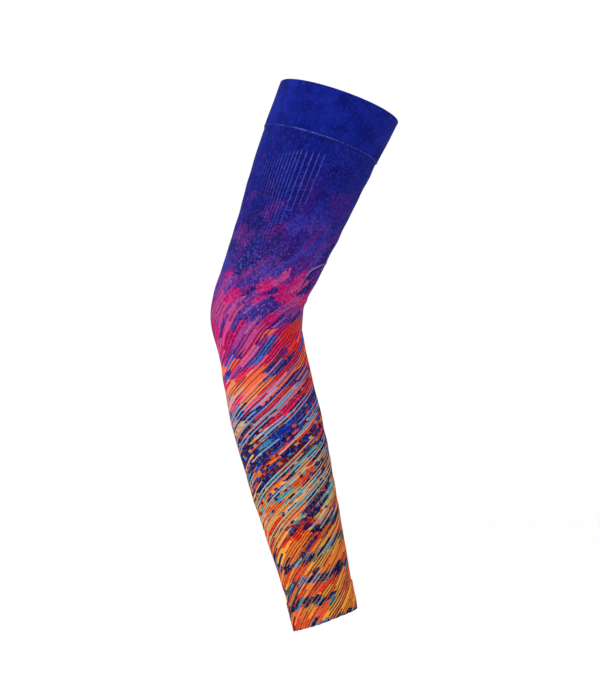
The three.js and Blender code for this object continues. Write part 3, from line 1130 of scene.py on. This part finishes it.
# %% The inks
INKS = {
    "main": {
        0.0: "#0b1676", 0.12: "#0d1a7e", 0.22: "#151b80", 0.3: "#2c1c86", 0.36: "#5a1c84", 0.41: "#a01a74",
    },
    "second": {0.0: "#11208a", 0.14: "#15279a", 0.26: "#1b36aa", 0.34: "#3a38a6", 0.41: "#8a44a0"},
    "third": {
        0.0: "#0b1268", 0.14: "#1a1a80", 0.24: "#4a1c84", 0.32: "#7c207c", 0.36: "#3a2c94", 0.42: "#c81a64",
    },
    "dark": {
        0.0: "#0a105a", 0.2: "#0e125c", 0.34: "#1c1668", 0.42: "#342078", 0.48: "#2c1c74", 0.56: "#1c1c60",
        0.66: "#100c40", 0.78: "#120a34", 0.88: "#0e103c", 1.0: "#0e1040",
    },
    "light": {
        0.0: "#2034a4", 0.22: "#3444b4", 0.34: "#7c54b4", 0.41: "#c86ca8", 0.5: "#ff7c84", 0.54: "#ffa068",
        0.57: "#6cb0f4", 0.61: "#8cc0f0", 0.66: "#b8d0e0", 0.7: "#ffd088", 0.75: "#a0dce0", 0.8: "#ffd890",
        0.86: "#ffc868", 1.0: "#ffbc5c",
    },
}
PALETTES = {
    "rose": {"from": 0.388, "inks": {
        0.0: "#d0146c", 0.22: "#6c2888", 0.34: "#e8205c", 0.5: "#a83c94", 0.62: "#3a2890", 0.72: "#8a2474",
        0.83: "#4838a0", 0.9: "#cc4488",
    }},
    "ember": {"from": 0.495, "inks": {
        0.0: "#ff3028", 0.2: "#ff6a3c", 0.34: "#f01c4c", 0.46: "#ff9040", 0.58: "#6a2878", 0.69: "#2c2c80",
        0.8: "#3c68c8", 0.9: "#e8482c",
    }},
    "night": {"from": 0.6, "inks": {
        0.0: "#17165a", 0.2: "#1234a0", 0.36: "#5c1226", 0.5: "#f44c1c", 0.64: "#1b1b64", 0.8: "#4494cc",
        0.86: "#e8a258", 0.94: "#3a1450",
    }},
    "sand": {"from": 0.71, "inks": {
        0.0: "#f0a048", 0.17: "#4cacbc", 0.3: "#16206c", 0.42: "#f87828", 0.6: "#6c1420", 0.72: "#d8b878",
        0.84: "#1434a0", 0.94: "#f4501c",
    }},
    "flame": {"from": 0.8, "inks": {
        0.0: "#ff5828", 0.28: "#ffac38", 0.54: "#ff822c", 0.78: "#f0341c", 0.9: "#e8b464", 0.94: "#2c1c58",
    }},
}
print(len(INKS), "inks run along the arm, and", len(PALETTES), "palettes take over from the elbow down")

# %% Where a point lies in the print
DRIFT_SCALE = 24.0
LANE_DRIFT = 0.052
STEP_WALES = 110
GRAIN = 0.0013
HATCH_LINES = 53


def print_places(start, turn, share):
    """The numbers that every layer of the print is worked out from."""
    at = SimpleNamespace(start=start, turn=turn, share=share, down=share * hem_at)
    at.swirl = attribute(start, "swirl")
    at.drift = clouds(start, DRIFT_SCALE, detail=2.0, seed=7.7) - 0.5
    at.lane = turn + at.swirl + at.drift * LANE_DRIFT
    at.grain = speckle(start, turn, share, STEP_WALES, GRAIN, seed=22.0)
    at.lively = share.between(0.36, 0.52)
    at.hatch = at.lane * HATCH_LINES
    at.line = at.hatch.whole().wrapped(HATCH_LINES)
    at.comb = dice(start, at.line, 0.0, 40.0) - 0.5
    return at


ink_step = float(girth(np.array(elbow_at))) / STEP_WALES
print("ink steps are", round(ink_step * 1000, 2), "mm wide at the elbow")

# %% Strokes cut into patches
STROKES = 20
BELT = 0.0125
BEND_TURN = 0.67
TOOTH = 0.0052
GRAIN_STEP = 0.0012
BELT_DRIFT = 0.034


def pick_patches(at):
    """Picks an ink for each patch: a stroke, split lengthwise into two and cut into belts."""
    start = at.start
    step = dice(start, (at.turn * STEP_WALES).whole(), 0.0, 21.0) - 0.5
    tooth = step * (1 - at.lively * 0.7) + at.comb * at.lively
    place = at.lane * STROKES + (at.grain - 0.5) * 0.1
    broad = place.whole().wrapped(STROKES)
    cut = 0.35 + dice(start, broad, 0.0, 30.0) * 0.9
    at.stroke = broad * 2 + (place.part() > cut)
    slide = (dice(start, at.stroke, 0.0, 31.0) - 0.5) * (0.011 - 0.004 * at.lively)
    ragged = at.down + at.drift * BELT_DRIFT + slide + tooth * TOOTH + (at.grain - 0.5) * GRAIN_STEP
    belt = (ragged / BELT).whole()
    own = dice(start, at.stroke, belt, 32.0)
    shared = dice(start, (broad / 2).whole(), belt, 33.0)
    follow = dice(start, at.stroke, belt, 34.0) < 0.5
    pick = shared * follow + own * (1 - follow)
    shade = dice(start, at.stroke, belt, 36.0) - 0.5
    return own, pick, shade


def patch_colours(at):
    """The patches in their inks. The magenta starts higher on the inner side of the bend."""
    own, pick, shade = pick_patches(at)
    inner = (at.turn - BEND_TURN).wave() * at.share.between(0.24, 0.33) * at.share.between(0.52, 0.44)
    shifted = (at.share + shade * 0.075 + at.drift * 0.05 + inner * 0.035).clipped()
    at.inks = {name: ink(shifted, codes) for name, codes in INKS.items()}
    colour = blend(pick > 0.36, at.inks["main"], at.inks["second"])
    colour = blend(pick > 0.6, colour, at.inks["third"])
    colour = blend(own > 0.86, colour, at.inks["dark"])
    at.edge = at.share + at.drift * 0.07 + shade * 0.07 + inner * 0.045
    for palette in PALETTES.values():
        colour = blend(at.edge > palette["from"], colour, choice(pick, palette["inks"]))
    return colour


print(STROKES, "strokes, cut every", round(BELT * 1000, 1), "mm")

# %% Belts round the wrist
WRIST_BELT = 0.019
BELT_ARCS = 6
BELT_DYES = dyes(navy="#10164e", teal="#308c9c", line="#6098d4")


def wrist_belts(at, colour):
    """Navy and teal belts near the wrist, broken into arcs of uneven height."""
    ripple = (at.down + at.drift * 0.03 + at.comb * 0.005) / WRIST_BELT
    arc = (at.lane * BELT_ARCS).whole().wrapped(BELT_ARCS)
    stretch = dice(at.start, arc, ripple.whole(), 50.0)
    at.belted = (ripple.part() < 0.22 + 0.2 * stretch) * (stretch > 0.12) * at.share.between(0.79, 0.83)
    teal = dice(at.start, at.stroke, ripple.whole(), 51.0) > 0.76
    return blend(at.belted, colour, blend(teal, BELT_DYES["navy"], BELT_DYES["teal"]))


print("wrist belts repeat every", round(WRIST_BELT * 1000, 1), "mm")

# %% Strings of beads
BEAD = 0.0044
BEADS_ROUND = 46
BEAD_LINES = 48
BEAD_RUN = 0.016


def beads(at, colour):
    """Short strings of small blocks in other inks, on the darker half of the forearm."""
    strand = (at.lane * BEAD_LINES).whole().wrapped(BEAD_LINES)
    start_at = dice(at.start, strand, 0.0, 37.0) * 9.0
    runs = dice(at.start, strand, (at.down / BEAD_RUN + start_at).whole(), 35.0) > 0.34
    bead = dice(at.start, strand, (at.down / BEAD - at.turn * BEADS_ROUND + start_at).whole(), 38.0)
    night, sand, flame = (PALETTES[name] for name in ("night", "sand", "flame"))
    bead_ink = blend(at.edge > sand["from"], choice(bead, night["inks"]), choice(bead, sand["inks"]))
    beaded = runs * (at.edge > night["from"]) * (at.edge < flame["from"])
    return blend(beaded * (dice(at.start, bead, strand, 39.0) > 0.36), colour, bead_ink)


print(BEAD_LINES, "strings of beads,", round(BEAD * 1000, 1), "mm each")

# %% Hatching
HATCH_RUN = 0.012
HATCH_SHADE = dye("#7a4c74")


def hatching(at, colour):
    """Fine lines along the strokes: most shade the ink under them, some are dark or light."""
    share = at.share
    chance = dice(at.start, at.line, (at.down / HATCH_RUN + at.comb * 7.0).whole(), 41.0)
    fine = at.hatch.middle().between(0.35, 0.65)
    dense = share.between(0.595, 0.65) * share.between(0.86, 0.8)
    wrist = share.between(0.8, 0.88)
    deep = (0.12 + 0.74 * share.between(0.34, 0.5)) * (1 - 0.36 * dense) * (1 - 0.1 * wrist)
    shaded = blend(1.0, colour, HATCH_SHADE, "MULTIPLY")
    colour = blend(fine * (chance > 0.32) * deep, colour, shaded)
    dark = deep * (0.35 + 0.65 * share.between(0.8, 0.87))
    colour = blend(fine * (chance > 0.72) * dark, colour, at.inks["dark"])
    colour = blend(fine * (chance < 0.12) * (0.12 + 0.6 * at.lively), colour, at.inks["light"])
    return blend(fine * at.belted * (chance < 0.3) * 0.7, colour, BELT_DYES["line"])


print(HATCH_LINES, "lines of hatching, in runs of", round(HATCH_RUN * 1000, 1), "mm")

# %% Long threads of light and dark
THREAD_LINES = 37
THREAD_WINDING = 0.97
THREAD_RUN = 0.07


def long_threads(at, colour):
    """Long thin lines of light ink on darker ones, across the forearm."""
    thread = at.turn * THREAD_LINES + at.swirl * (THREAD_LINES * THREAD_WINDING) + at.drift
    line = thread.whole().wrapped(THREAD_LINES)
    run = (at.down / THREAD_RUN + dice(at.start, line, 0.0, 44.0) * 5.0).whole()
    chance = dice(at.start, line, run, 45.0)
    thin = thread.middle().between(0.62, 0.8) * at.share.between(0.5, 0.64)
    under = thread.middle().between(0.36, 0.58) * at.share.between(0.56, 0.64)
    ends = at.share.between(0.9, 0.82) * 0.75 + 0.25
    colour = blend(under * (chance > 0.5) * 0.85 * ends, colour, at.inks["dark"])
    return blend(thin * (chance > 0.66) * 0.85 * ends, colour, at.inks["light"])


def printed_colour(start, turn, share):
    """All layers of the print, from the broad patches to the finest lines."""
    at = print_places(start, turn, share)
    colour = patch_colours(at)
    for layer in (wrist_belts, beads, hatching, long_threads):
        colour = layer(at, colour)
    return colour, at


print(THREAD_LINES, "long threads, in runs of", round(THREAD_RUN * 1000, 1), "mm")

# %% [markdown]
# ## Ribs, tucks and creases in colour
#
# The relief of the tube is real mesh, but light alone doesn't show it as the real cloth does, so
# light and shade are painted on as well. The crest of a rib gets a painted highlight, stitch by
# stitch, and the cloth between two ribs is a ladder of gaps in painted shade. The tuck mesh is a net
# of thin rings in painted highlight over hollows in painted shade, which a cell texture gives once
# noise has bent it. The valley of a crease gets painted shade and its roll a painted highlight. All
# of these follow the attributes that were stored with the mesh, so they lie exactly on the relief.

# %% Net of tucks
TUCK_CELLS = 400
TUCK_BEND = 0.0022


def net_of_tucks(start):
    """Crumpled rings of the tuck mesh: 1 on the thin ridges, 0 in the hollows, and a tone for each."""
    bent = clouds(start, scale=260.0, detail=2.0, seed=5.0).made("Color")
    nudge = start.make("ShaderNodeVectorMath", {"operation": "SCALE"}, {0: bent, 3: TUCK_BEND})
    moved = start.make("ShaderNodeVectorMath", {"operation": "ADD"}, {0: in_space(start), 1: nudge})
    sockets = {"Vector": moved, "Scale": TUCK_CELLS}
    settings = {"voronoi_dimensions": "3D"}
    cells = start.make("ShaderNodeTexVoronoi", settings, sockets)
    edge = start.make("ShaderNodeTexVoronoi", {**settings, "feature": "DISTANCE_TO_EDGE"}, sockets)
    tone = start.make("ShaderNodeSeparateXYZ", {}, {"Vector": cells.made("Color")})
    return edge.between(0.16, 0.05), tone


print("tucks are", 1000 / TUCK_CELLS, "mm wide")

# %% Colours of the relief
# Crest, net and roll are painted highlights; gap and valley are painted shade; reverse is the cloth's own
# back
RELIEF_DYES = dyes(
    crest="#5c66d4", gap="#0f1158", net="#4a5ac4", roll="#c48cc8", valley="#2a0c58", reverse="#6f6478"
)
RUNG = 0.0028
# Shares of a turn over which the rib crests' painted highlight grows stronger
PANEL_FRONT = (0.61, 0.73)
NET_HEIGHT = 2.4


def ribbed_panel(start, turn, share, colour, knots):
    """Painted highlight on the rib crests, stronger on one side, and a ladder of painted shade between."""
    rib, panel = (attribute(start, name) for name in ("rib", "panel"))
    gap = (turn * (360 / RIB_GROUPS[0]["pitch"])).whole()
    rung = share * (hem_at / RUNG) + dice(start, gap, 0.0, 72.0)
    hole = (rung.part() > 0.4) * (dice(start, gap, rung.whole(), 73.0) > 0.2)
    # painted shade in the gaps between the ribs
    colour = blend(panel * (1 - rib) * hole * 0.75, colour, RELIEF_DYES["gap"])
    broken = dice(start, gap, (share * (hem_at / RUNG)).whole(), 74.0)
    highlight_strength = (1 - 0.55 * share.between(0.15, 0.26)) * (0.5 + 0.5 * broken)
    highlight_side = 0.36 + 0.44 * turn.between(*PANEL_FRONT)
    # painted highlight on the rib crests, broken by stitch, fading down the arm, stronger on one side
    crest = rib.between(0.2, 0.8) * (0.4 + 0.6 * knots) * highlight_side * highlight_strength
    return blend(crest, colour, RELIEF_DYES["crest"])


def relief_colour(start, turn, share, colour, height):
    """The panel, the tuck mesh and the creases in painted highlight and shade over the print, and the
    height with the net.
    """
    fold, roll, tuck = (attribute(start, name) for name in ("fold", "roll", "tuck"))
    knots = speckle(start, turn, share, WALES, COURSE, seed=71.0)
    colour = ribbed_panel(start, turn, share, colour, knots)
    net, tone = net_of_tucks(start)
    # painted shade in the hollows of the tuck mesh, of a random depth in each cell
    colour = blend(tuck * (1 - net) * (0.3 + 0.7 * tone), colour, RELIEF_DYES["gap"])
    # painted highlight on the thin ridges of the tuck mesh
    colour = blend(tuck * net * knots * tone * 0.9, colour, RELIEF_DYES["net"])
    # painted shade in the valley of each crease
    colour = blend(fold.between(0.15, 0.75) * 0.9, colour, RELIEF_DYES["valley"])
    # painted highlight on the roll of each crease
    colour = blend(roll.between(0.45, 0.95) * (1 - fold) * 0.5, colour, RELIEF_DYES["roll"])
    return colour, height * (1 - tuck) + tuck * net * NET_HEIGHT


print("the panel's ladder has rungs", round(RUNG * 1000, 1), "mm apart")

# %% [markdown]
# ## The printed cloth
#
# On the upper arm the dye has run a little, so a soft cloud of two inks is laid over the strokes
# there. Everywhere single stitches take more or less ink, which gives light and dark flecks, and
# the gaps between stitches get painted shade. Inside the tube only the undyed reverse shows. The
# same cloth serves the wrist band, without the panel, the tucks and the creases.

# %% Printed cloth
FLECK = 0.0014
PRINT_BUMP = 0.0003


def printed_cloth(name, with_relief):
    """The print on its stitches, with flecks, shade between the stitches and a plain reverse."""
    cloth, shader, start = new_cloth(name)
    turn, share = map_places(start)
    colour, at = printed_colour(start, turn, share)
    stitch = height = stitch_height(turn, share)
    blurred = clouds(start, scale=34.0, detail=4.0, seed=2.2).between(0.38, 0.66)
    soft = blend(blurred, at.inks["main"], at.inks["third"])
    colour = blend(share.between(0.4, 0.14) * 0.6, colour, soft)
    fleck = speckle(start, turn, share, WALES, FLECK, seed=81.0)
    upper = share.between(0.5, 0.36)
    colour = blend((fleck > 0.78) * (0.1 + 0.2 * upper), colour, at.inks["light"])
    colour = blend((fleck < 0.24) * (0.09 + 0.41 * upper), colour, at.inks["dark"])
    # painted shade in the gaps between the stitch legs
    colour = blend((1 - stitch) * (0.1 + 0.06 * upper), colour, at.inks["dark"])
    if with_relief:
        colour, height = relief_colour(start, turn, share, colour, height)
    colour = blend(attribute(start, "inside"), colour, RELIEF_DYES["reverse"])
    finish_cloth(shader, colour, 0.78 + at.grain * 0.14, height, PRINT_BUMP)
    return cloth


print("flecks are", round(FLECK * 1000, 1), "mm tall")

# %% [markdown]
# ## Dressing the solids
#
# Each fine mesh stands for one solid. It rides on the only body, because cloth has no joint here,
# hides the plain solid, and wears the cloth made for it above.

# %% Put the cloth on the pieces
cloths = {
    cuff: (cuff_cloth(), "upper_cuff", "cuff_knit"),
    seam: (thread_cloth(), "cuff_seam", "seam_thread"),
    sleeve: (printed_cloth("sleeve_cloth", True), "knit_sleeve", "printed_knit"),
    band: (printed_cloth("band_cloth", False), "wrist_cuff", "wrist_knit"),
}
for piece, (cloth, node, slot_name) in cloths.items():
    piece.data.materials.append(cloth)
    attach(piece, "root")
    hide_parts(node)
    print(piece.name, "wears", cloth.name, "with", len(cloth.node_tree.nodes), "nodes")

# %% [markdown]
# ## The size that is kept
#
# The dressed sleeve should reach as far as the packed solids do, give or take the relief, so both
# sizes are written down and can be compared.

# %% Sizes and the end
dressed_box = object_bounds()
for corner in dressed_box:
    print("dressed sleeve's corner", [round(v, 4) for v in corner])
